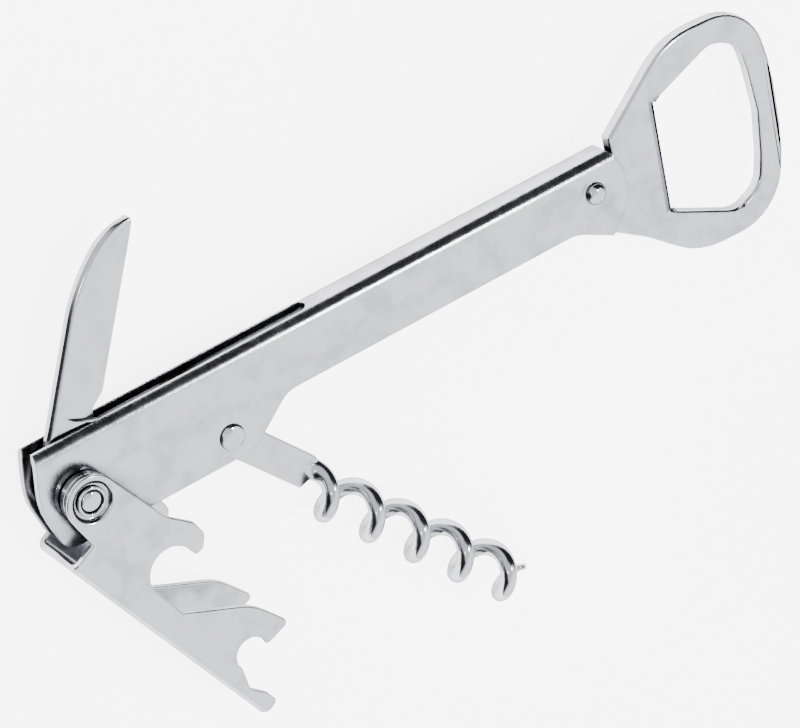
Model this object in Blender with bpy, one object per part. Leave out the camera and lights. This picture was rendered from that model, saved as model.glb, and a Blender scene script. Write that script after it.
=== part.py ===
"""Waiter's corkscrew, modelled in metres with +Z up.

The tool lies on its side.  X runs along the handle from the lever's axle to
the bottle opener, Y runs from the handle's open side to its closed spine, and
Z runs through its thickness.  All profiles below are drawn about the lever's
axle, which the knife shares, or about the piece's own pivot.
"""
import math

import bmesh
import bpy
from mathutils import Vector

MM = 0.001
GAP = 0.25                    # clearance between pieces that touch

# ---- folded sheet handle -------------------------------------------------
SHEET = 1.2                   # thickness of the handle's sheet
HANDLE_HALF_WIDTH = 2.9
SPINE_Y = 9.9                 # outer face of the closed back
WIDE_BOTTOM_Y = -7.6          # edge of the deep end that holds the pivots
NARROW_BOTTOM_Y = -1.1        # edge of the slim grip
HANDLE_BEND = 2.3             # outer radius of the folded corners
INNER_BEND = 1.1
HANDLE_REACH = 106.0          # length over which the section is drawn
HANDLE_START = -9.0
HEEL_CORNERS = ((-5.4, SPINE_Y, 1.2), (-7.2, 0.8, 12.0), (-4.9, WIDE_BOTTOM_Y, 2.8))
STEP_CORNERS = ((29.2, WIDE_BOTTOM_Y, 5.0), (37.1, NARROW_BOTTOM_Y, 4.5))
FLARE_CORNERS = ((93.2, NARROW_BOTTOM_Y, 6.0), (99.8, -4.5, 0.5))
NOSE_CENTRE = (94.6, 3.6)     # round end that holds the opener
NOSE_RADIUS = 9.7
NOSE_FROM = -56.0
NOSE_TO = 40.0
SLOT_HALF_WIDTH = 1.45        # knife slot through the spine
SLOT_END_X = 45.0

# ---- bottle opener -------------------------------------------------------
OPENER_RIVET = (98.4, 3.9)
OPENER_TILT = -2.2            # the plate is riveted a little askew
OPENER_HALF = 1.15            # half the plate's thickness
OPENER_MID_Y = -0.5           # centre line of the loop, from the rivet
OPENER_TANG = ((-7.0, 4.1, 1.0), (-7.0, -3.4, 1.0), (1.2, -8.0, 1.5), (9.5, -13.0, 20.0))
OPENER_SHOULDER = ((5.0, 4.4, 0.0), (5.0, 7.1, 0.5))
LOOP_CORNERS = ((18.6, 19.6, 14.0), (35.6, 19.6, 10.0), (39.6, 0.0, 60.0))
HOLE_CORNERS = ((14.8, 9.9, 0.8), (27.3, 15.3, 4.5), (32.4, 12.9, 4.5), (34.9, 0.0, 40.0))
LIP_X = 14.8
LIP_BEVEL_RUN = 1.3
LIP_BEVEL_DEPTH = 0.7
DISH_RADIUS = 4.2             # wall pressed inwards around the opener's rivet
DISH_FLOOR = 2.5
DISH_DEPTH = 0.3

# ---- worm ----------------------------------------------------------------
WORM_PIVOT = (26.1, -3.6)
WORM_ANGLE = -48.9            # opened from the handle's line
SHANK_HALF = 0.8
SHANK_CORNERS = (
    (-3.1, 2.6, 2.6),
    (-3.1, -3.1, 2.9),
    (18.3, -3.1, 0.5),
    (19.1, -1.4, 0.6),
    (20.2, -0.6, 0.5),
    (20.6, 1.4, 0.3),
    (18.2, 2.5, 1.6),
)
WIRE_RADIUS = 1.42
COIL_RADIUS = 3.2
COIL_AXIS = -2.2              # coil's axis below the shank's pivot line
COIL_PITCH = 10.25
WIRE_START = 16.6
COIL_START = 18.1
COIL_EASE = 4.0
COIL_END = 70.4
TIP_TAPER = 6.5
WIRE_STEPS_PER_TURN = 18
WIRE_SIDES = 3                # bevel resolution, giving ten sides

# ---- knife ---------------------------------------------------------------
KNIFE_ANGLE = 62.4
BLADE_HALF = 0.8
BACK = 6.4                    # distance of the blade's back from the axle
EDGE = -1.9                   # distance of its cutting edge
BLADE_CORNERS = (
    (-3.4, BACK, 3.8),
    (-3.4, -3.3, 3.1),
    (10.5, -2.6, 0.8),
    (12.4, -0.5, 1.2),
    (15.6, EDGE, 1.5),
    (41.9, EDGE, 0.3),
    (42.9, -1.1, 0.3),
    (39.9, 3.0, 6.0),
    (31.0, BACK, 16.0),
)
GRIND_START = 11.6
GRIND_TOP = 5.0
EDGE_HALF = 0.2

# ---- lever ---------------------------------------------------------------
LEVER_ANGLE = -60.1
LEVER_SHEET = 1.1
LEVER_HALF_WIDTH = 5.95
WEB_OUTER = -10.2             # outer face of the web that joins both cheeks
WEB_START = 5.0
LEVER_END = 52.9
LEVER_BEND = 1.8
LEVER_INNER_BEND = 0.6
LUG_RADIUS = 4.4
CAP_CENTRE = (20.3, -0.9)     # crown cap notch
CAP_RADIUS = 4.1
RIM_CENTRE = (42.6, -3.7)     # notch that rests on the bottle's rim
RIM_RADIUS = 2.75
LEVER_TOE = ((LEVER_END, -12.0, 0.0), (52.4, -7.1, 0.8), (49.8, -7.1, 1.2), (46.6, -8.2, 1.5))
FOOT_CORNERS = ((44.1, -0.5, 0.4), (44.8, 3.9, 0.9), (37.0, 2.4, 10.0), (26.8, -5.1, 0.4))
HOOK_CORNERS = (
    (21.9, 3.2, 0.5),
    (22.3, 4.7, 1.0),
    (20.7, 6.6, 1.6),
    (17.8, 6.9, 2.0),
    (13.0, 5.0, 6.0),
)
NECK_CORNER = (WEB_START, -5.2, 0.3)
RECESS_RADIUS = 3.4           # recess coined around the axle's heads
RECESS_FLOOR = 3.1
RECESS_DEPTH = 0.7

# ---- rivets and washers ----------------------------------------------------
AXLE_PIN = 1.3
AXLE_HEAD = 1.75
AXLE_RISE = 0.55
WORM_PIN = 1.3
WORM_HEAD = 2.15
WORM_RISE = 0.65
OPENER_PIN = 1.1
OPENER_HEAD = 1.85
OPENER_RISE = 1.05
RING_OUTER = 2.45
RING_INNER = 1.95
RING_HEIGHT = 0.45
WASHER_OUTER = 2.9
WASHER_INNER = 1.6
SPACER_OUTER = 4.1            # holds the lever's cheeks off the handle

# ---- mesh resolution -------------------------------------------------------
ARC_STEP = 9.0                # degrees between points of an arc
ROUND_SIDES = 28
DOME_STEPS = 5
OVERCUT = 0.6                 # how far a cutter runs past the faces it cuts
SINK = 0.06                   # how deep a boss is sunk into its wall
LONG = 20.0                   # reach of a cutter that passes right through


def clear_scene():
    """Remove every object of the open scene."""
    for obj in list(bpy.data.objects):
        bpy.data.objects.remove(obj, do_unlink=True)


def metal(name, colour, roughness):
    """A metallic Principled BSDF material."""
    material = bpy.data.materials.new(name)
    material.use_nodes = True
    shader = material.node_tree.nodes["Principled BSDF"]
    shader.inputs["Base Color"].default_value = (*colour, 1.0)
    shader.inputs["Metallic"].default_value = 1.0
    shader.inputs["Roughness"].default_value = roughness
    return material


def arc(centre, radius, start, end):
    """Points of a circular arc, in degrees, as corners with no fillet."""
    count = max(2, round(abs(end - start) / ARC_STEP))
    points = []
    for i in range(count + 1):
        a = math.radians(start + (end - start) * i / count)
        x = centre[0] + radius * math.cos(a)
        y = centre[1] + radius * math.sin(a)
        points.append((x, y, 0.0))
    return points


def fillet(before, corner, after, radius):
    """Points that round one corner of an outline."""
    here = Vector(corner)
    back = (Vector(before) - here).normalized()
    ahead = (Vector(after) - here).normalized()
    half = math.acos(max(-1.0, min(1.0, back.dot(ahead)))) / 2
    if radius <= 0 or half > math.radians(89.0):
        return [here]
    reach = radius / math.tan(half)
    centre = here + (back + ahead).normalized() * radius / math.sin(half)
    first = here + back * reach - centre
    sweep = math.pi - 2 * half
    if back.cross(ahead) > 0:
        sweep = -sweep
    count = max(2, round(abs(math.degrees(sweep)) / ARC_STEP))
    points = []
    for i in range(count + 1):
        a = sweep * i / count
        turned = Vector((
            first.x * math.cos(a) - first.y * math.sin(a),
            first.x * math.sin(a) + first.y * math.cos(a),
        ))
        points.append(centre + turned)
    return points


def outline(corners):
    """Outline through the corners, each rounded by its own radius."""
    points = []
    count = len(corners)
    for i, (x, y, radius) in enumerate(corners):
        before = corners[i - 1][:2]
        after = corners[(i + 1) % count][:2]
        points.extend(fillet(before, (x, y), after, radius))
    return points


def new_object(name, mesh, parent, material=None):
    obj = bpy.data.objects.new(name, mesh)
    bpy.context.scene.collection.objects.link(obj)
    obj.parent = parent
    if material:
        mesh.materials.append(material)
    return obj


def mesh_from_bmesh(name, bm):
    bmesh.ops.recalc_face_normals(bm, faces=bm.faces)
    mesh = bpy.data.meshes.new(name)
    bm.to_mesh(mesh)
    bm.free()
    return mesh


def prism_mesh(name, points, low, high):
    """Solid with the given outline in XY between two heights."""
    bm = bmesh.new()
    face = bm.faces.new([bm.verts.new((p[0] * MM, p[1] * MM, low * MM)) for p in points])
    grown = bmesh.ops.extrude_face_region(bm, geom=[face])
    lifted = [v for v in grown["geom"] if isinstance(v, bmesh.types.BMVert)]
    bmesh.ops.translate(bm, vec=(0, 0, (high - low) * MM), verts=lifted)
    return mesh_from_bmesh(name, bm)


def section_mesh(name, points, low, high):
    """Solid with the given outline in YZ, drawn along X."""
    bm = bmesh.new()
    face = bm.faces.new([bm.verts.new((low * MM, p[0] * MM, p[1] * MM)) for p in points])
    grown = bmesh.ops.extrude_face_region(bm, geom=[face])
    moved = [v for v in grown["geom"] if isinstance(v, bmesh.types.BMVert)]
    bmesh.ops.translate(bm, vec=((high - low) * MM, 0, 0), verts=moved)
    return mesh_from_bmesh(name, bm)


def turned_mesh(name, profile):
    """Solid turned about Z from (radius, height) points."""
    bm = bmesh.new()
    verts = [bm.verts.new((r * MM, 0, z * MM)) for r, z in profile]
    edges = [bm.edges.new(pair) for pair in zip(verts, verts[1:])]
    if profile[0][0] > 0:
        edges.append(bm.edges.new((verts[-1], verts[0])))
    bmesh.ops.spin(
        bm, geom=verts + edges, cent=(0, 0, 0), axis=(0, 0, 1),
        angle=math.tau, steps=ROUND_SIDES, use_merge=True,
    )
    bmesh.ops.remove_doubles(bm, verts=bm.verts, dist=0.001 * MM)
    return mesh_from_bmesh(name, bm)


def frustums(name, centre, spans):
    """Round cutters, each given as radius and height at both of its ends."""
    bm = bmesh.new()
    for r_low, low, r_high, high in spans:
        made = bmesh.ops.create_cone(
            bm, cap_ends=True, segments=ROUND_SIDES,
            radius1=r_low * MM, radius2=r_high * MM, depth=(high - low) * MM,
        )
        middle = (centre[0] * MM, centre[1] * MM, (low + high) / 2 * MM)
        bmesh.ops.translate(bm, vec=middle, verts=made["verts"])
    return mesh_from_bmesh(name, bm)


def hole(name, centre, radius):
    """Cutter for a round hole through both walls."""
    return frustums(name, centre, [(radius, -LONG, radius, LONG)])


def combine(target, mesh, operation):
    """Apply one EXACT boolean with a hidden wire-drawn guide."""
    guide = new_object(mesh.name, mesh, target)
    guide.hide_render = True
    guide.display_type = "WIRE"
    modifier = target.modifiers.new(mesh.name, "BOOLEAN")
    modifier.operation = operation
    modifier.solver = "EXACT"
    modifier.object = guide


def smooth(mesh, angle=35.0):
    mesh.shade_smooth()
    mesh.set_sharp_from_angle(angle=math.radians(angle))


def folded_section(spine, half_width, sheet, bend, inner_bend, opening):
    """U-shaped section of a folded sheet; spine and opening are Y heights."""
    inside = spine - math.copysign(sheet, spine - opening)
    clear = half_width - sheet
    return outline((
        (opening, -half_width, 0.0),
        (spine, -half_width, bend),
        (spine, half_width, bend),
        (opening, half_width, 0.0),
        (opening, clear, 0.0),
        (inside, clear, inner_bend),
        (inside, -clear, inner_bend),
        (opening, -clear, 0.0),
    ))


def seats(face, rim, floor, depth, sink):
    """Spans of tapered discs on both sides, wide at a face and running past it."""
    wide = rim + (rim - floor) / depth * sink
    return [
        (floor, face - depth, wide, face + sink),
        (wide, -face - sink, floor, -face + depth),
    ]


def make_handle(parent, material):
    section = folded_section(
        SPINE_Y, HANDLE_HALF_WIDTH, SHEET, HANDLE_BEND, INNER_BEND, -LONG,
    )
    mesh = section_mesh("handle_channel", section, HANDLE_START, HANDLE_REACH)
    handle = new_object("handle_channel", mesh, parent, material)
    inner = HANDLE_HALF_WIDTH - SHEET
    bosses = seats(inner, DISH_RADIUS, DISH_FLOOR, DISH_DEPTH, SINK)
    dishes = seats(HANDLE_HALF_WIDTH, DISH_RADIUS, DISH_FLOOR, DISH_DEPTH, SINK)
    combine(handle, frustums("cut_handle_bosses", OPENER_RIVET, bosses), "UNION")
    combine(handle, frustums("cut_handle_dishes", OPENER_RIVET, dishes), "DIFFERENCE")
    heel = HEEL_CORNERS
    nose = arc(NOSE_CENTRE, NOSE_RADIUS, NOSE_FROM, NOSE_TO)
    corner = ((nose[-1][0] - 0.1, SPINE_Y + OVERCUT, 0.0),)
    top_left = (heel[0][0], SPINE_Y + OVERCUT, 0.0)
    profile = outline((*heel[1:], *STEP_CORNERS, *FLARE_CORNERS, *nose, *corner, top_left))
    combine(handle, prism_mesh("cut_handle_profile", profile, -LONG, LONG), "INTERSECT")
    slot = outline((
        (HANDLE_START - LONG, -SLOT_HALF_WIDTH, 0.0),
        (SLOT_END_X, -SLOT_HALF_WIDTH, SLOT_HALF_WIDTH * 0.99),
        (SLOT_END_X, SLOT_HALF_WIDTH, SLOT_HALF_WIDTH * 0.99),
        (HANDLE_START - LONG, SLOT_HALF_WIDTH, 0.0),
    ))
    cutter = prism_mesh("cut_handle_slot", slot, 0.0, SHEET + 2 * OVERCUT)
    for vertex in cutter.vertices:
        x, y, z = vertex.co
        vertex.co = (x, z + (SPINE_Y - SHEET - OVERCUT) * MM, -y)
    combine(handle, cutter, "DIFFERENCE")
    combine(handle, hole("cut_handle_axle", (0, 0), AXLE_PIN + GAP), "DIFFERENCE")
    combine(handle, hole("cut_handle_worm", WORM_PIVOT, WORM_PIN + GAP), "DIFFERENCE")
    combine(handle, hole("cut_handle_opener", OPENER_RIVET, OPENER_PIN + GAP), "DIFFERENCE")
    smooth(handle.data)
    return handle


def make_opener(parent, material):
    loop = [(x, OPENER_MID_Y - y, r) for x, y, r in LOOP_CORNERS]
    loop += [(x, OPENER_MID_Y + y, r) for x, y, r in LOOP_CORNERS[-2::-1]]
    profile = outline((*OPENER_TANG, *loop, *OPENER_SHOULDER[::-1]))
    mesh = prism_mesh("bottle_opener", profile, -OPENER_HALF, OPENER_HALF)
    opener = new_object("bottle_opener", mesh, parent, material)
    opener.location = (OPENER_RIVET[0] * MM, OPENER_RIVET[1] * MM, 0)
    opener.rotation_euler.z = math.radians(OPENER_TILT)
    window = [(x, OPENER_MID_Y - y, r) for x, y, r in HOLE_CORNERS]
    window += [(x, OPENER_MID_Y + y, r) for x, y, r in HOLE_CORNERS[-2::-1]]
    combine(opener, prism_mesh("cut_opener_window", outline(window), -LONG, LONG), "DIFFERENCE")
    half = HOLE_CORNERS[0][1] + OVERCUT / 2
    high = OPENER_HALF + OVERCUT
    rise = LIP_BEVEL_RUN / LIP_BEVEL_DEPTH
    wedge = (
        (LIP_X + OVERCUT, OPENER_HALF - LIP_BEVEL_DEPTH - OVERCUT / rise),
        (LIP_X + OVERCUT, high),
        (LIP_X - LIP_BEVEL_RUN - OVERCUT * rise, high),
    )
    bevel = prism_mesh("cut_opener_lip", wedge, -half, half)
    for vertex in bevel.vertices:
        x, y, z = vertex.co
        vertex.co = (x, OPENER_MID_Y * MM - z, y)
    combine(opener, bevel, "DIFFERENCE")
    combine(opener, hole("cut_opener_rivet", (0, 0), OPENER_PIN + GAP), "DIFFERENCE")
    smooth(opener.data)
    return opener


def coil_point(x):
    """Centre of the wire at a distance along the worm from its pivot."""
    run = x - COIL_START
    rate = math.tau / COIL_PITCH
    if run <= 0:
        turn = 0.0
    elif run < COIL_EASE:
        turn = rate * run * run / (2 * COIL_EASE)
    else:
        turn = rate * (run - COIL_EASE / 2)
    y = COIL_AXIS + COIL_RADIUS * math.cos(turn)
    z = COIL_RADIUS * math.sin(turn)
    return Vector((x, y, z))


def wire_scale(x):
    """Relative thickness of the wire: thin in the shank, pointed at the tip."""
    if x > COIL_END - TIP_TAPER:
        left = (COIL_END - x) / TIP_TAPER
        return 0.12 + 0.88 * math.sin(left * math.pi / 2)
    if x < COIL_START + COIL_EASE / 2:
        grown = (x - WIRE_START) / (COIL_START + COIL_EASE / 2 - WIRE_START)
        return 0.58 + 0.42 * grown
    return 1.0


def make_worm(parent, material):
    shank = prism_mesh("worm", outline(SHANK_CORNERS), -SHANK_HALF, SHANK_HALF)
    worm = new_object("worm", shank, parent, material)
    worm.location = (WORM_PIVOT[0] * MM, WORM_PIVOT[1] * MM, 0)
    worm.rotation_euler.z = math.radians(WORM_ANGLE)
    step = COIL_PITCH / WIRE_STEPS_PER_TURN
    count = round((COIL_END - WIRE_START) / step)
    curve = bpy.data.curves.new("worm_wire_path", "CURVE")
    curve.dimensions = "3D"
    curve.bevel_depth = WIRE_RADIUS * MM
    curve.bevel_resolution = WIRE_SIDES
    curve.use_fill_caps = True
    spline = curve.splines.new("POLY")
    spline.points.add(count)
    for i, point in enumerate(spline.points):
        x = WIRE_START + (COIL_END - WIRE_START) * i / count
        point.co = (*(coil_point(x) * MM), 1.0)
        point.radius = wire_scale(x)
    path = bpy.data.objects.new("worm_wire_path", curve)
    bpy.context.scene.collection.objects.link(path)
    wire = bpy.data.meshes.new_from_object(path)
    wire.name = "cut_worm_wire"
    bpy.data.objects.remove(path, do_unlink=True)
    combine(worm, wire, "UNION")
    combine(worm, hole("cut_worm_pivot", (0, 0), WORM_PIN + GAP), "DIFFERENCE")
    smooth(worm.data, 50.0)
    return worm


def make_knife(parent, material):
    mesh = prism_mesh("knife_blade", outline(BLADE_CORNERS), -BLADE_HALF, BLADE_HALF)
    knife = new_object("knife_blade", mesh, parent, material)
    knife.rotation_euler.z = math.radians(KNIFE_ANGLE)
    fall = (BLADE_HALF - EDGE_HALF) / (GRIND_TOP - EDGE)
    for side, name in ((1, "cut_knife_near"), (-1, "cut_knife_far")):
        wedge = (
            (GRIND_TOP + OVERCUT, side * (BLADE_HALF + OVERCUT * fall)),
            (EDGE - OVERCUT, side * (EDGE_HALF - OVERCUT * fall)),
            (EDGE - OVERCUT, side * (BLADE_HALF + 2 * OVERCUT)),
            (GRIND_TOP + OVERCUT, side * (BLADE_HALF + 2 * OVERCUT)),
        )
        grind = section_mesh(name, wedge, GRIND_START, GRIND_START + 2 * LONG)
        combine(knife, grind, "DIFFERENCE")
    combine(knife, hole("cut_knife_axle", (0, 0), AXLE_PIN + GAP), "DIFFERENCE")
    smooth(knife.data)
    return knife


def make_lever(parent, material):
    section = folded_section(
        WEB_OUTER, LEVER_HALF_WIDTH, LEVER_SHEET, LEVER_BEND, LEVER_INNER_BEND, LONG,
    )
    mesh = section_mesh("lever", section, -LONG, LEVER_END + LONG)
    lever = new_object("lever", mesh, parent, material)
    lever.rotation_euler.z = math.radians(LEVER_ANGLE)
    recesses = seats(LEVER_HALF_WIDTH, RECESS_RADIUS, RECESS_FLOOR, RECESS_DEPTH, OVERCUT)
    combine(lever, frustums("cut_lever_recesses", (0, 0), recesses), "DIFFERENCE")
    profile = outline((
        (WEB_START, -12.0, 0.0),
        *LEVER_TOE,
        *arc(RIM_CENTRE, RIM_RADIUS, -85.0, -295.0),
        *FOOT_CORNERS,
        *arc(CAP_CENTRE, CAP_RADIUS, -100.0, -262.0),
        *HOOK_CORNERS,
        *arc((0, 0), LUG_RADIUS, 86.0, 258.0),
        NECK_CORNER,
    ))
    combine(lever, prism_mesh("cut_lever_profile", profile, -LONG, LONG), "INTERSECT")
    combine(lever, hole("cut_lever_axle", (0, 0), AXLE_PIN + GAP), "DIFFERENCE")
    smooth(lever.data)
    return lever


def make_rivet(name, centre, pin, head, rise, seat, parent, material):
    """Domed rivet whose heads rest on seats at the given half height."""
    base = seat + GAP * 0.6
    profile = [(0.0, base + rise)]
    for i in range(1, DOME_STEPS + 1):
        a = math.pi / 2 * (1 - i / DOME_STEPS)
        profile.append((head * math.cos(a), base + 0.12 + (rise - 0.12) * math.sin(a)))
    profile += [(head, base), (pin, base)]
    profile += [(r, -z) for r, z in profile[::-1]]
    rivet = new_object(name, turned_mesh(name, profile), parent, material)
    rivet.location = (centre[0] * MM, centre[1] * MM, 0)
    smooth(rivet.data)
    return rivet


def make_ring(name, centre, inner, outer, low, height, parent, material):
    """Flat washer with softened rims, its lower face at the given height."""
    soft = min(height, outer - inner) * 0.22
    high = low + height
    profile = (
        (inner, low), (outer, low), (outer, high - soft),
        (outer - soft, high), (inner + soft, high), (inner, high - soft),
    )
    ring = new_object(name, turned_mesh(name, profile), parent, material)
    ring.location = (centre[0] * MM, centre[1] * MM, 0)
    smooth(ring.data)
    return ring


def visible_bounds():
    """Lowest and highest corners of every piece as it is evaluated."""
    bpy.context.view_layer.update()
    graph = bpy.context.evaluated_depsgraph_get()
    low = Vector((math.inf,) * 3)
    high = Vector((-math.inf,) * 3)
    for obj in bpy.context.scene.objects:
        if obj.type != "MESH" or obj.hide_render:
            continue
        shape = obj.evaluated_get(graph)
        for vertex in shape.data.vertices:
            place = shape.matrix_world @ vertex.co
            low = Vector(map(min, low, place))
            high = Vector(map(max, high, place))
    return low, high


def main():
    clear_scene()
    root = bpy.data.objects.new("corkscrew_origin", None)
    bpy.context.scene.collection.objects.link(root)
    plate = metal("nickel_plated_sheet", (0.78, 0.78, 0.80), 0.24)
    bright = metal("polished_nickel", (0.86, 0.86, 0.87), 0.08)
    ground = metal("ground_steel", (0.74, 0.74, 0.77), 0.22)
    rivets = metal("rivet_steel", (0.83, 0.83, 0.84), 0.12)

    make_handle(root, plate)
    make_opener(root, plate)
    make_worm(root, bright)
    make_knife(root, ground)
    make_lever(root, plate)

    dish_seat = HANDLE_HALF_WIDTH - DISH_DEPTH
    lever_seat = LEVER_HALF_WIDTH - RECESS_DEPTH
    make_rivet("opener_rivet", OPENER_RIVET, OPENER_PIN, OPENER_HEAD, OPENER_RISE,
               dish_seat, root, rivets)
    make_rivet("worm_rivet", WORM_PIVOT, WORM_PIN, WORM_HEAD, WORM_RISE,
               HANDLE_HALF_WIDTH, root, rivets)
    make_rivet("axle_rivet", (0, 0), AXLE_PIN, AXLE_HEAD, AXLE_RISE, lever_seat, root, rivets)

    ring_low = lever_seat + GAP * 0.6
    make_ring("axle_ring_near", (0, 0), RING_INNER, RING_OUTER, ring_low, RING_HEIGHT,
              root, rivets)
    make_ring("axle_ring_far", (0, 0), RING_INNER, RING_OUTER, -ring_low - RING_HEIGHT,
              RING_HEIGHT, root, rivets)
    inner = HANDLE_HALF_WIDTH - SHEET
    cheek = LEVER_HALF_WIDTH - LEVER_SHEET
    for name, centre, outer, inside, outside in (
        ("knife_washer", (0, 0), WASHER_OUTER, BLADE_HALF, inner),
        ("worm_washer", WORM_PIVOT, WASHER_OUTER, SHANK_HALF, inner),
        ("lever_spacer", (0, 0), SPACER_OUTER, HANDLE_HALF_WIDTH, cheek),
    ):
        thick = outside - inside - 2 * GAP
        make_ring(name + "_near", centre, WASHER_INNER, outer, inside + GAP, thick,
                  root, rivets)
        make_ring(name + "_far", centre, WASHER_INNER, outer, GAP - outside, thick,
                  root, rivets)

    low, high = visible_bounds()
    root.location = (-(low.x + high.x) / 2, -(low.y + high.y) / 2, -low.z)


main()
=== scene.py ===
"""Looks of the waiter's corkscrew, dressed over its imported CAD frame.

Every visible piece is a finer copy of one CAD node, or a new mesh close to its
size, that rides on the node's body.  The worm and the knife are new meshes and
leave out their pin holes.  The worm is slightly slimmer than the CAD one and the
knife slightly thicker.  Lengths are in millimetres until multiplied by MM.
"""
import math

import bmesh
import bpy
from mathutils import Matrix, Vector


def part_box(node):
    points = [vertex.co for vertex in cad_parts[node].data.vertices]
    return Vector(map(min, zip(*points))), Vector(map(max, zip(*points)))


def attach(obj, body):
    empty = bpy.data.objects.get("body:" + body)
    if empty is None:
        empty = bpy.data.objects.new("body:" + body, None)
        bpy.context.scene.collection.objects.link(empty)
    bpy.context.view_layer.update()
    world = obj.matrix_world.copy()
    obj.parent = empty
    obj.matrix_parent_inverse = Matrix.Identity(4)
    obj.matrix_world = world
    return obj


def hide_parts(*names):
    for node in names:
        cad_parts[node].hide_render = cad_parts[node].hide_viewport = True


MM = 0.001

# ---- camera ----------------------------------------------------------------
VIEW_AZIMUTH = -142.2
VIEW_ELEVATION = 50.5
VIEW_ROLL = 120.5
VIEW_TARGET = (-6.49, 2.08, 5.95)   # mm
VIEW_DISTANCE = 628.0               # mm
FOCAL_LENGTH = 180.0                # mm on a 36 mm sensor

# ---- softened edges --------------------------------------------------------
MERGE = 0.002                # vertices split for shading are joined again
FLAT_ANGLE = 0.6             # degrees; facets of one plane become one face
EDGE_ANGLE = 40.0            # degrees; sharper edges are rounded
EDGE_STEPS = 3
LEVEL_FACE = 0.8             # upright part of the normal of a lying face
GROUND_ANGLE = 2.5           # degrees between lying faces that are kept crisp

# ---- worm ------------------------------------------------------------------
WORM_ANGLE = -48.9
SHANK_HALF = 0.8
SHANK_CORNERS = (
    (-3.1, 2.6, 2.6), (-3.1, -3.1, 2.9), (18.3, -3.1, 0.6),
    (19.1, -1.4, 0.6), (19.6, -0.4, 0.4), (19.8, 1.5, 0.4), (18.2, 2.5, 1.6),
)
WIRE_RADIUS = 1.40
COIL_RADIUS = 3.16
COIL_AXIS = -2.2
COIL_PITCH = 10.25
COIL_START = 18.1
COIL_EASE = 4.0
COIL_END = 70.3
TIP_TAPER = 6.5
TWIST_START = 16.2           # the flat shank turns into wire from here
TWIST_END = 23.5
WIRE_STEPS = 420
WIRE_SIDES = 28
TIP_SHARE = 0.34             # the tip's thickness as a share of the wire's
ROOT_HALF_HEIGHT = 2.1       # the wire's section where it leaves the shank
ROOT_SHIFT = -0.9
SHANK_RIM = 0.3              # rounding of the shank's rims
SHARP_TURN = 50.0            # degrees; creases of turned and swept metal

# ---- rivets and rings ------------------------------------------------------
RIVETS = (                   # node, rise of the dome, radius of the pin
    ("opener_rivet", 1.05, 1.1), ("worm_rivet", 0.60, 1.3), ("axle_rivet", 0.50, 1.3),
)
TURNED_SIDES = 72
DOME_STEPS = 14
HEAD_RIM = 0.1               # straight rim under each dome
BEAD_RADIUS = 0.27
BEAD_SIDES = 14

# ---- knife -----------------------------------------------------------------
KNIFE_ANGLE = 62.4
BLADE_HALF = 0.8
BLADE_CORNERS = (
    (-3.4, 6.4, 3.8), (-3.4, -3.3, 3.1), (10.5, -2.6, 0.8), (12.4, -0.5, 1.2),
    (15.6, -1.9, 1.5), (42.0, -1.9, 0.5), (43.2, -1.0, 0.8), (40.2, 3.2, 11.0), (31.4, 6.4, 28.0),
)
BLADE_STATIONS = 190
BLADE_STEPS = 24             # points on each rounded corner of its outline
BLADE_SHARES = (             # points across the blade, closer together near its back
    0.0, 0.02, 0.05, 0.12, 0.22, 0.34, 0.46, 0.58, 0.68, 0.76, 0.81, 0.85, 0.88,
    0.91, 0.935, 0.955, 0.97, 0.982, 0.991, 0.997, 1.0,
)
BLADE_INSET = 0.02           # first and last section lie this far inside the outline
BLADE_CREASE = 40.0          # degrees
EDGE_HALF = 0.06             # half thickness of the cutting edge
BLADE_SWELL = 0.25           # the blade grows this much thicker, each side, past its butt
SWELL_FROM = 6.0             # distance from the axle where the swell begins
SWELL_RUN = 4.0
BACK_ROUND = 0.8             # the blade's back is rounded over this width
BACK_DROP = 0.55             # and by this much on each side
GRIND_TOP = 1.9              # the hollow grind stops this far from the back
GRIND_START = 10.9
GRIND_RUN = 0.55
GRIND_DEPTH = 0.75
GRIND_CURVE = 0.45           # below 1 the hollow is steepest at its upper border
TIP_REACH = 43.2             # the tip, measured from the axle
GRIND_BOW = 0.085            # how strongly the start of the grind is bowed

# ---- metal -----------------------------------------------------------------
EDGE_TINT = (0.42, 0.42, 0.45)   # the metal is set darker at a glancing view
CLOUD_SCALE = 210.0          # noise scales count cells in one metre
SMEAR_SCALE = 520.0
GRAIN_SCALE = 1500.0
WAVE_SCALE = 160.0
PIT_SCALE = 420.0
GRAIN_HEIGHT = 0.006
WAVE_HEIGHT = 0.04
PIT_HEIGHT = 0.02
WAVE_STRENGTH = 0.5
TARNISH_REACH = 5.0          # metal is darker where something lies this near
SOFTEST = 0.75               # smears vary the roughness between these shares
ROUGHEST = 1.35

# ---- light -----------------------------------------------------------------
DARK_SKY = (0.04, 0.04, 0.05)
SKY_LOBES = (                # towards, cosines where its edge starts and ends, colour
    ((-0.20, 0.20, 0.96), (0.78, 0.95), (2.2, 2.2, 2.3)),
    ((0.62, -0.12, 0.77), (0.93, 0.97), (3.5, 3.5, 3.6)),
    ((-0.50, 0.75, 0.45), (0.80, 0.95), (2.2, 2.2, 2.3)),
    ((0.20, -0.88, 0.43), (0.36, 0.78), (4.1, 4.11, 4.35)),
)
LAMPS = (                    # name, towards, distance and size in metres, watts
    ("edge_softbox", (0.39, 0.13, 0.91), 0.7, 0.07, 2.8),
    ("spark_softbox", (-0.55, 0.25, 0.80), 0.7, 0.05, 0.5),
)
FLOOR_SIZE = 4.0             # metres
FLOOR_DROP = 0.2             # the paper lies this far below the tool
PAPER_GLOW = 5.6             # the paper shines by itself, as on a light table


def node_group(material):
    """Nodes and links of a material, with its node tree switched on."""
    material.use_nodes = True
    return material.node_tree.nodes, material.node_tree.links


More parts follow.
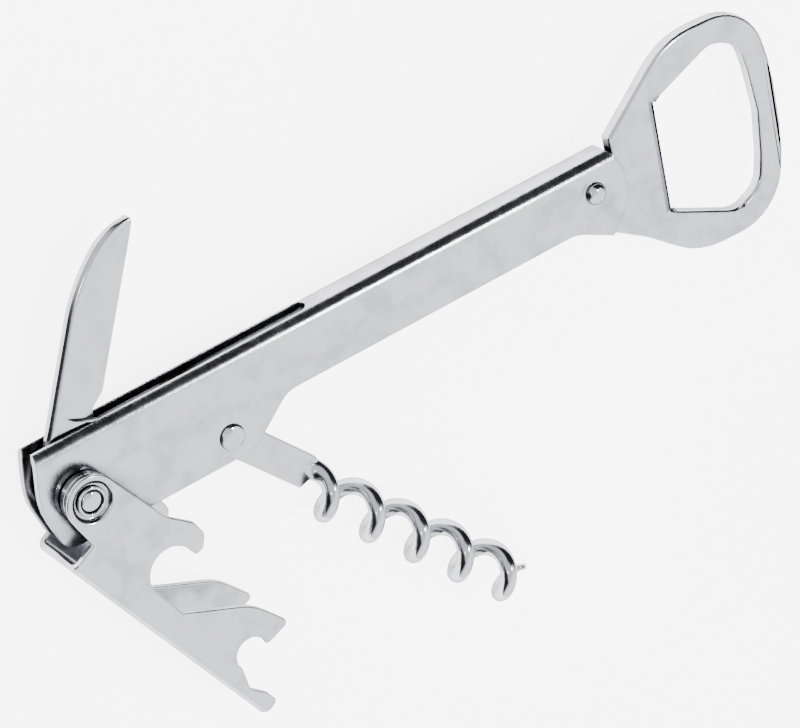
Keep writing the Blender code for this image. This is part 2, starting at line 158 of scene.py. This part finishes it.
def add(nodes, kind, inputs=None, **settings):
    """A shader node with its settings and constant inputs."""
    node = nodes.new(kind)
    for key, value in settings.items():
        setattr(node, key, value)
    for key, value in (inputs or {}).items():
        node.inputs[key].default_value = value
    return node


def ramp(nodes, links, source, stops):
    """Colour ramp over a value; stops are (position, grey or colour)."""
    node = nodes.new("ShaderNodeValToRGB")
    elements = node.color_ramp.elements
    while len(elements) < len(stops):
        elements.new(0.5)
    for element, (place, value) in zip(elements, stops):
        element.position = place
        colour = value if isinstance(value, tuple) else (value,) * 3
        element.color = (*colour, 1.0)
    links.new(source, node.inputs["Fac"])
    return node.outputs["Color"]


def metal(name, colour, rough, cloud=0.10, grain=0.6, stretch=(1.0, 1.0, 1.0), pits=0.0,
          rounding=0.0):
    """Plated metal: clouded tone, uneven roughness, fine grain and a few pits."""
    material = bpy.data.materials.new(name)
    nodes, links = node_group(material)
    shader = nodes["Principled BSDF"]
    shader.inputs["Metallic"].default_value = 1.0
    shader.inputs["Specular Tint"].default_value = (*EDGE_TINT, 1.0)
    place = add(nodes, "ShaderNodeTexCoord")
    shape = add(nodes, "ShaderNodeMapping", {"Scale": stretch})
    links.new(place.outputs["Object"], shape.inputs["Vector"])

    clouds = add(nodes, "ShaderNodeTexNoise", {"Scale": CLOUD_SCALE, "Detail": 5.0, "Roughness": 0.6})
    links.new(place.outputs["Object"], clouds.inputs["Vector"])
    dark = tuple(c * (1.0 - cloud) for c in colour)
    tone = ramp(nodes, links, clouds.outputs["Fac"], ((0.36, dark), (0.56, colour)))
    nearby = add(nodes, "ShaderNodeAmbientOcclusion", {"Distance": TARNISH_REACH * MM}, samples=8)
    shade = ramp(nodes, links, nearby.outputs["AO"], ((0.25, 0.02), (0.72, 1.0)))
    tarnish = add(nodes, "ShaderNodeMix", data_type="RGBA", blend_type="MULTIPLY")
    tarnish.inputs["Factor"].default_value = 1.0
    links.new(tone, tarnish.inputs[6])
    links.new(shade, tarnish.inputs[7])
    links.new(tarnish.outputs[2], shader.inputs["Base Color"])

    smears = add(nodes, "ShaderNodeTexNoise", {"Scale": SMEAR_SCALE, "Detail": 6.0, "Roughness": 0.7})
    links.new(shape.outputs["Vector"], smears.inputs["Vector"])
    finish = ramp(nodes, links, smears.outputs["Fac"],
                  ((0.3, rough * SOFTEST), (0.7, rough * ROUGHEST)))
    links.new(finish, shader.inputs["Roughness"])

    fine = add(nodes, "ShaderNodeTexNoise", {"Scale": GRAIN_SCALE, "Detail": 4.0, "Roughness": 0.65})
    links.new(shape.outputs["Vector"], fine.inputs["Vector"])
    wave = add(nodes, "ShaderNodeTexNoise", {"Scale": WAVE_SCALE, "Detail": 2.0})
    links.new(place.outputs["Object"], wave.inputs["Vector"])
    rough_skin = add(nodes, "ShaderNodeBump", {"Strength": grain, "Distance": GRAIN_HEIGHT * MM})
    links.new(fine.outputs["Fac"], rough_skin.inputs["Height"])
    if rounding:
        edges = add(nodes, "ShaderNodeBevel", {"Radius": rounding * MM}, samples=6)
        links.new(edges.outputs["Normal"], rough_skin.inputs["Normal"])
    soft_skin = add(nodes, "ShaderNodeBump", {"Strength": WAVE_STRENGTH, "Distance": WAVE_HEIGHT * MM})
    links.new(wave.outputs["Fac"], soft_skin.inputs["Height"])
    links.new(rough_skin.outputs["Normal"], soft_skin.inputs["Normal"])
    last = soft_skin
    if pits:
        specks = add(nodes, "ShaderNodeTexVoronoi", {"Scale": PIT_SCALE})
        links.new(place.outputs["Object"], specks.inputs["Vector"])
        sunk = ramp(nodes, links, specks.outputs["Distance"], ((0.03, 0.0), (0.11, 1.0)))
        dents = add(nodes, "ShaderNodeBump", {"Strength": pits, "Distance": PIT_HEIGHT * MM})
        links.new(sunk, dents.inputs["Height"])
        links.new(last.outputs["Normal"], dents.inputs["Normal"])
        last = dents
    links.new(last.outputs["Normal"], shader.inputs["Normal"])
    return material


def plain_floor():
    """Pale matt paper the tool lies on."""
    material = bpy.data.materials.new("white_paper")
    nodes, links = node_group(material)
    shader = nodes["Principled BSDF"]
    shader.inputs["Roughness"].default_value = 0.9
    shader.inputs["Specular IOR Level"].default_value = 0.1
    fibres = add(nodes, "ShaderNodeTexNoise", {"Scale": 40.0, "Detail": 3.0})
    tone = ramp(nodes, links, fibres.outputs["Fac"], ((0.3, 0.90), (0.7, 0.93)))
    links.new(tone, shader.inputs["Base Color"])
    links.new(tone, shader.inputs["Emission Color"])
    shader.inputs["Emission Strength"].default_value = PAPER_GLOW
    bm = bmesh.new()
    bmesh.ops.create_grid(bm, x_segments=1, y_segments=1, size=FLOOR_SIZE / 2)
    mesh = bpy.data.meshes.new("floor")
    bm.to_mesh(mesh)
    bm.free()
    floor = bpy.data.objects.new("floor", mesh)
    bpy.context.scene.collection.objects.link(floor)
    floor.location.z = -FLOOR_DROP * MM
    mesh.materials.append(material)


def link_object(name, mesh, material):
    obj = bpy.data.objects.new(name, mesh)
    bpy.context.scene.collection.objects.link(obj)
    mesh.materials.clear()
    mesh.materials.append(material)
    return obj


def join_facets(mesh):
    """Close the seams of an imported mesh and keep its ground faces crisp."""
    bm = bmesh.new()
    bm.from_mesh(mesh)
    bmesh.ops.remove_doubles(bm, verts=bm.verts, dist=MERGE * MM)
    bmesh.ops.dissolve_limit(
        bm, angle_limit=math.radians(FLAT_ANGLE), verts=bm.verts, edges=bm.edges,
        use_dissolve_boundaries=False,
    )
    bmesh.ops.recalc_face_normals(bm, faces=bm.faces)
    for edge in bm.edges:
        lying = all(abs(f.normal.z) > LEVEL_FACE for f in edge.link_faces)
        limit = GROUND_ANGLE if lying else EDGE_ANGLE
        edge.smooth = edge.calc_face_angle(0.0) < math.radians(limit)
    bm.to_mesh(mesh)
    bm.free()


def soften(obj, width):
    """Round every sharp edge and keep the shading of the flats flat."""
    bevel = obj.modifiers.new("rounded_edges", "BEVEL")
    bevel.width = width * MM
    bevel.segments = EDGE_STEPS
    bevel.limit_method = "ANGLE"
    bevel.angle_limit = math.radians(EDGE_ANGLE)
    bevel.use_clamp_overlap = False
    flats = obj.modifiers.new("flat_shading", "WEIGHTED_NORMAL")
    flats.mode = "FACE_AREA"
    flats.weight = 100
    flats.keep_sharp = True


def dress(node, name, body, material, width):
    """A finer copy of a CAD node that stands in for it."""
    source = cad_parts[node]
    mesh = source.data.copy()
    mesh.name = name
    obj = link_object(name, mesh, material)
    obj.matrix_world = source.matrix_world.copy()
    mesh.shade_smooth()
    join_facets(mesh)
    if width:
        soften(obj, width)
    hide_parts(node)
    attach(obj, body)
    return obj


def fillet(before, corner, after, radius, steps=8):
    """Points that round one corner of an outline."""
    here = Vector(corner)
    back = (Vector(before) - here).normalized()
    ahead = (Vector(after) - here).normalized()
    half = math.acos(max(-1.0, min(1.0, back.dot(ahead)))) / 2
    reach = radius / math.tan(half)
    centre = here + (back + ahead).normalized() * radius / math.sin(half)
    first = here + back * reach - centre
    sweep = math.pi - 2 * half
    if back.cross(ahead) > 0:
        sweep = -sweep
    return [centre + Matrix.Rotation(sweep * i / steps, 2) @ first for i in range(steps + 1)]


def outline(corners, steps=8):
    points = []
    for i, (x, y, radius) in enumerate(corners):
        after = corners[(i + 1) % len(corners)][:2]
        points += fillet(corners[i - 1][:2], (x, y), after, radius, steps)
    return points


def coil_point(x):
    """Centre of the wire at a distance along the worm from its pivot."""
    run = x - COIL_START
    rate = math.tau / COIL_PITCH
    if run <= 0:
        turn = 0.0
    elif run < COIL_EASE:
        turn = rate * run * run / (2 * COIL_EASE)
    else:
        turn = rate * (run - COIL_EASE / 2)
    return Vector((x, COIL_AXIS + COIL_RADIUS * math.cos(turn), COIL_RADIUS * math.sin(turn)))


def wire_section(x):
    """Half height, half thickness and sideways shift of the wire's section."""
    if x > COIL_END - TIP_TAPER:
        left = (COIL_END - x) / TIP_TAPER
        size = WIRE_RADIUS * (TIP_SHARE + (1 - TIP_SHARE) * math.sin(left * math.pi / 2))
        return size, size, 0.0
    part = max(0.0, min(1.0, (x - TWIST_START) / (TWIST_END - TWIST_START)))
    part = part * part * (3 - 2 * part)
    tall = ROOT_HALF_HEIGHT + (WIRE_RADIUS - ROOT_HALF_HEIGHT) * part
    thin = SHANK_HALF + (WIRE_RADIUS - SHANK_HALF) * part
    return tall, thin, ROOT_SHIFT * (1 - part)


def worm_shank(bm):
    """Flat plate with rounded rims, as one closed shell."""
    rim = outline(SHANK_CORNERS)
    plate = [bm.verts.new((p.x * MM, p.y * MM, -SHANK_HALF * MM)) for p in rim]
    face = bm.faces.new(plate)
    grown = bmesh.ops.extrude_face_region(bm, geom=[face])
    lifted = [v for v in grown["geom"] if isinstance(v, bmesh.types.BMVert)]
    bmesh.ops.translate(bm, vec=(0, 0, 2 * SHANK_HALF * MM), verts=lifted)
    rims = [e for e in bm.edges if abs(e.verts[0].co.z - e.verts[1].co.z) < 0.1 * MM]
    bmesh.ops.bevel(bm, geom=rims, offset=SHANK_RIM * MM, segments=EDGE_STEPS, profile=0.5,
                    affect="EDGES")


def worm_wire(bm):
    """Wire swept along the coil, flat where it leaves the shank."""
    rings = []
    for i in range(WIRE_STEPS + 1):
        x = TWIST_START + (COIL_END - TWIST_START) * i / WIRE_STEPS
        centre = coil_point(x)
        along = (coil_point(x + 0.01) - coil_point(x - 0.01)).normalized()
        out = Vector((0, centre.y - COIL_AXIS, centre.z)).normalized()
        out = (out - along * out.dot(along)).normalized()
        side = along.cross(out)
        tall, thin, shift = wire_section(x)
        middle = centre + out * shift
        ring = []
        for k in range(WIRE_SIDES):
            a = math.tau * k / WIRE_SIDES
            point = middle + out * (tall * math.cos(a)) + side * (thin * math.sin(a))
            ring.append(bm.verts.new(point * MM))
        rings.append(ring)
    for low, high in zip(rings, rings[1:]):
        for k in range(WIRE_SIDES):
            n = (k + 1) % WIRE_SIDES
            bm.faces.new((low[k], low[n], high[n], high[k]))
    bm.faces.new(rings[0][::-1])
    bm.faces.new(rings[-1])


def make_worm(material):
    """Shank and coil of the worm in its own frame, turned to its rest angle."""
    bm = bmesh.new()
    worm_shank(bm)
    worm_wire(bm)
    bmesh.ops.recalc_face_normals(bm, faces=bm.faces)
    pivot = sum((Vector(corner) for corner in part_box("worm_rivet")), Vector()) / 2
    bm.transform(Matrix.Translation(pivot) @ Matrix.Rotation(math.radians(WORM_ANGLE), 4, "Z"))
    mesh = bpy.data.meshes.new("polished_worm")
    bm.to_mesh(mesh)
    bm.free()
    worm = link_object("polished_worm", mesh, material)
    mesh.shade_smooth()
    mesh.set_sharp_from_angle(angle=math.radians(SHARP_TURN))
    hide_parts("worm")
    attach(worm, "worm")


def blade_span(rim, x):
    """Lowest and highest point of the blade's outline at one distance from its axle."""
    heights = []
    for here, ahead in zip(rim, rim[1:] + rim[:1]):
        if (here.x - x) * (ahead.x - x) <= 0 and here.x != ahead.x:
            part = (x - here.x) / (ahead.x - here.x)
            heights.append(here.y + part * (ahead.y - here.y))
    return min(heights), max(heights)


def blade_half(x, y, edge, back):
    """Half thickness of the blade, hollow ground from near its back to its edge."""
    start = GRIND_START + GRIND_BOW * max(0.0, y - (edge + back) / 2) ** 2
    cut = max(0.0, min(1.0, (x - start) / GRIND_RUN))
    cut = cut * cut * (3 - 2 * cut)
    depth = max(0.0, (back - GRIND_TOP - y) / max(back - GRIND_TOP - edge, 0.1))
    swell = max(0.0, min(1.0, (x - SWELL_FROM) / SWELL_RUN)) * min(1.0, (TIP_REACH - x) / SWELL_RUN)
    half = BLADE_HALF + BLADE_SWELL * swell - GRIND_DEPTH * cut * min(1.0, depth) ** GRIND_CURVE
    inset = max(0.0, BACK_ROUND - (back - y)) / BACK_ROUND
    return half - BACK_DROP * (1 - math.cos(inset * math.pi / 2))


def make_blade(material):
    """Knife swept from butt to tip, with a rounded back and a hollow grind."""
    rim = outline(BLADE_CORNERS, BLADE_STEPS)
    first = min(p.x for p in rim) + BLADE_INSET
    last = max(p.x for p in rim) - BLADE_INSET
    bm = bmesh.new()
    rings = []
    for i in range(BLADE_STATIONS + 1):
        x = first + (last - first) * i / BLADE_STATIONS
        edge, back = blade_span(rim, x)
        sides = []
        for share in BLADE_SHARES:
            y = edge + (back - edge) * share
            sides.append((y, max(EDGE_HALF, blade_half(x, y, edge, back))))
        ring = [bm.verts.new((x * MM, y * MM, half * MM)) for y, half in sides]
        ring += [bm.verts.new((x * MM, y * MM, -half * MM)) for y, half in sides[::-1]]
        rings.append(ring)
    count = len(rings[0])
    for low, high in zip(rings, rings[1:]):
        for k in range(count):
            n = (k + 1) % count
            bm.faces.new((low[k], low[n], high[n], high[k]))
    bm.faces.new(rings[0][::-1])
    bm.faces.new(rings[-1])
    bmesh.ops.recalc_face_normals(bm, faces=bm.faces)
    axle = sum((Vector(corner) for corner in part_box("axle_rivet")), Vector()) / 2
    bm.transform(Matrix.Translation(axle) @ Matrix.Rotation(math.radians(KNIFE_ANGLE), 4, "Z"))
    mesh = bpy.data.meshes.new("ground_blade")
    bm.to_mesh(mesh)
    bm.free()
    mesh.shade_smooth()
    mesh.set_sharp_from_angle(angle=math.radians(BLADE_CREASE))
    knife = link_object("ground_blade", mesh, material)
    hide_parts("knife_blade")
    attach(knife, "knife")


def make_rivet(node, rise, pin, material):
    """Finely turned rivet with domed heads, as tall and wide as the CAD one."""
    low, high = (Vector(corner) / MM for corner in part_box(node))
    head = (high.x - low.x) / 2
    top = (high.z - low.z) / 2
    profile = []
    for i in range(DOME_STEPS + 1):
        a = math.pi / 2 * (1 - i / DOME_STEPS)
        profile.append((head * math.cos(a), top - rise + rise * math.sin(a)))
    profile += [(head, top - rise - HEAD_RIM), (pin, top - rise - HEAD_RIM)]
    profile += [(r, -z) for r, z in profile[::-1]]
    bm = bmesh.new()
    verts = [bm.verts.new((r * MM, 0, z * MM)) for r, z in profile]
    edges = [bm.edges.new(pair) for pair in zip(verts, verts[1:])]
    bmesh.ops.spin(bm, geom=verts + edges, cent=(0, 0, 0), axis=(0, 0, 1),
                   angle=math.tau, steps=TURNED_SIDES, use_merge=True)
    bmesh.ops.remove_doubles(bm, verts=bm.verts, dist=MERGE * MM)
    bmesh.ops.recalc_face_normals(bm, faces=bm.faces)
    mesh = bpy.data.meshes.new("domed_" + node)
    bm.to_mesh(mesh)
    bm.free()
    mesh.shade_smooth()
    mesh.set_sharp_from_angle(angle=math.radians(SHARP_TURN))
    rivet = link_object("domed_" + node, mesh, material)
    rivet.location = (low + high) / 2 * MM
    bpy.context.view_layer.update()
    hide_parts(node)
    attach(rivet, "handle")


def make_bead(node, name, material):
    """Round bead ring of the same size as a CAD ring."""
    low, high = (Vector(corner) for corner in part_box(node))
    tall = (high.z - low.z) / 2
    outer = (high.x - low.x) / 2
    wide = BEAD_RADIUS * MM
    bm = bmesh.new()
    rings = []
    for i in range(TURNED_SIDES):
        a = math.tau * i / TURNED_SIDES
        ring = []
        for k in range(BEAD_SIDES):
            b = math.tau * k / BEAD_SIDES
            r = outer - wide + wide * math.cos(b)
            ring.append(bm.verts.new((r * math.cos(a), r * math.sin(a), tall * math.sin(b))))
        rings.append(ring)
    for i, ring in enumerate(rings):
        ahead = rings[(i + 1) % TURNED_SIDES]
        for k in range(BEAD_SIDES):
            n = (k + 1) % BEAD_SIDES
            bm.faces.new((ring[k], ahead[k], ahead[n], ring[n]))
    bmesh.ops.recalc_face_normals(bm, faces=bm.faces)
    mesh = bpy.data.meshes.new(name)
    bm.to_mesh(mesh)
    bm.free()
    mesh.shade_smooth()
    bead = link_object(name, mesh, material)
    bead.location = (low + high) / 2
    bpy.context.view_layer.update()
    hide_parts(node)
    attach(bead, "handle")


def make_camera():
    """Long lens looking down at the tool from behind its spine."""
    az = math.radians(VIEW_AZIMUTH)
    el = math.radians(VIEW_ELEVATION)
    back = Vector((math.sin(az) * math.cos(el), -math.cos(az) * math.cos(el), math.sin(el)))
    right = Vector((math.cos(az), math.sin(az), 0.0))
    up = back.cross(right)
    roll = Matrix.Rotation(math.radians(VIEW_ROLL), 3, "Z")
    turn = Matrix((right, up, back)).transposed() @ roll
    data = bpy.data.cameras.new("camera")
    data.lens = FOCAL_LENGTH
    data.sensor_width = 36.0
    data.clip_start = 0.01
    camera = bpy.data.objects.new("camera", data)
    bpy.context.scene.collection.objects.link(camera)
    place = Vector(VIEW_TARGET) * MM + back * VIEW_DISTANCE * MM
    camera.matrix_world = Matrix.Translation(place) @ turn.to_4x4()
    bpy.context.scene.camera = camera


def make_sky():
    """Dark studio surround with a few bright lobes for the metal to mirror."""
    world = bpy.data.worlds.new("studio")
    bpy.context.scene.world = world
    world.use_nodes = True
    nodes, links = world.node_tree.nodes, world.node_tree.links
    place = add(nodes, "ShaderNodeTexCoord")
    tone = None
    for direction, edge, colour in SKY_LOBES:
        towards = add(nodes, "ShaderNodeVectorMath", {1: Vector(direction).normalized()},
                      operation="DOT_PRODUCT")
        links.new(place.outputs["Generated"], towards.inputs[0])
        fade = add(nodes, "ShaderNodeMapRange", {"From Min": edge[0], "From Max": edge[1]},
                   interpolation_type="SMOOTHSTEP")
        links.new(towards.outputs["Value"], fade.inputs["Value"])
        lobe = add(nodes, "ShaderNodeMix", data_type="RGBA")
        lobe.inputs[6].default_value = (*DARK_SKY, 1.0)
        lobe.inputs[7].default_value = (*colour, 1.0)
        links.new(fade.outputs["Result"], lobe.inputs["Factor"])
        if tone:
            links.new(tone, lobe.inputs[6])
        tone = lobe.outputs[2]
    links.new(tone, nodes["Background"].inputs["Color"])
    nodes["Background"].inputs["Strength"].default_value = 1.0


def make_lamp(name, direction, distance, size, power):
    """Square softbox aimed at the tool."""
    data = bpy.data.lights.new(name, "AREA")
    data.shape = "SQUARE"
    data.size = size
    data.energy = power
    lamp = bpy.data.objects.new(name, data)
    bpy.context.scene.collection.objects.link(lamp)
    lamp.location = Vector(direction).normalized() * distance
    lamp.rotation_euler = lamp.location.to_track_quat("Z", "Y").to_euler()


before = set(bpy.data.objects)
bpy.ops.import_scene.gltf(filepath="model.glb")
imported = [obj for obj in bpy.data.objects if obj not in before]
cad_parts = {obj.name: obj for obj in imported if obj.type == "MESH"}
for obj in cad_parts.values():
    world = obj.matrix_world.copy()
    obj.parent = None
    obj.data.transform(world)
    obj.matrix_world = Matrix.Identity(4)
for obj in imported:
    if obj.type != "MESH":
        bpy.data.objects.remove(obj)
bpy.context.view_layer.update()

plate = metal("nickel_plated_sheet", (0.35, 0.35, 0.37), 0.18, cloud=0.22, grain=1.0, pits=0.2)
grip = metal("nickel_plated_grip", (0.35, 0.35, 0.37), 0.18, cloud=0.22, grain=3.2, pits=0.2,
             rounding=0.35)
bright = metal("polished_nickel", (0.34, 0.34, 0.355), 0.14, cloud=0.12, grain=0.5)
blade = metal("ground_steel", (0.34, 0.34, 0.36), 0.16, cloud=0.12, stretch=(1.0, 6.0, 1.0))
chrome = metal("rivet_chrome", (0.35, 0.35, 0.365), 0.09, cloud=0.08, grain=0.5)

dress("handle_channel", "plated_handle", "handle", grip, 0.0)
dress("bottle_opener", "plated_opener", "handle", plate, 0.55)
dress("lever", "plated_lever", "lever", plate, 0.3)
make_blade(blade)
make_worm(bright)
for node, rise, pin in RIVETS:
    make_rivet(node, rise, pin, chrome)
for node in ("worm_washer", "knife_washer", "lever_spacer"):
    for side in ("_near", "_far"):
        dress(node + side, "turned_" + node + side, "handle", chrome, 0.1)
make_bead("axle_ring_near", "axle_bead_near", chrome)
make_bead("axle_ring_far", "axle_bead_far", chrome)

plain_floor()
make_camera()
make_sky()
for lamp in LAMPS:
    make_lamp(*lamp)
